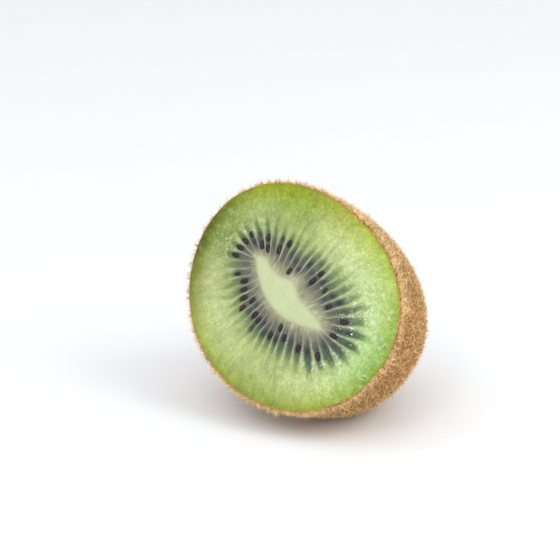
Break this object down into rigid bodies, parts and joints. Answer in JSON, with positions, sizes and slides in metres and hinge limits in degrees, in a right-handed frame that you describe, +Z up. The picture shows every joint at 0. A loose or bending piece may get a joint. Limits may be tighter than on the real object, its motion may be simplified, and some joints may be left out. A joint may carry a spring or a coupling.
{
  "type": "kiwi fruit half",
  "caption": "Half of a ripe kiwi fruit, cut across: oval green cut face with a ring of seeds and a pale core, rounded furry brown skin behind.",
  "frame": {"origin": "on the surface that the half rests on, under the middle of its box", "axes": "+Z up, the cut face looks towards -Y and leans back by 26.8 degrees, +X to the right as seen from the cut face"},
  "size_m": [0.0518, 0.0444, 0.0491],
  "materials": {
    "flesh": "moist, half clear green fruit flesh with fine radial strands",
    "core": "moist pale green, nearly white fruit core",
    "seeds": "glossy dark purple brown",
    "skin": "thin matt tan brown skin",
    "fuzz": "short golden tan hairs",
    "stub": "dry dark brown woody stub with curled sepals"
  },
  "bodies": {
    "root": {"flesh": "flesh", "core": "core"}
  },
  "joints": []
}
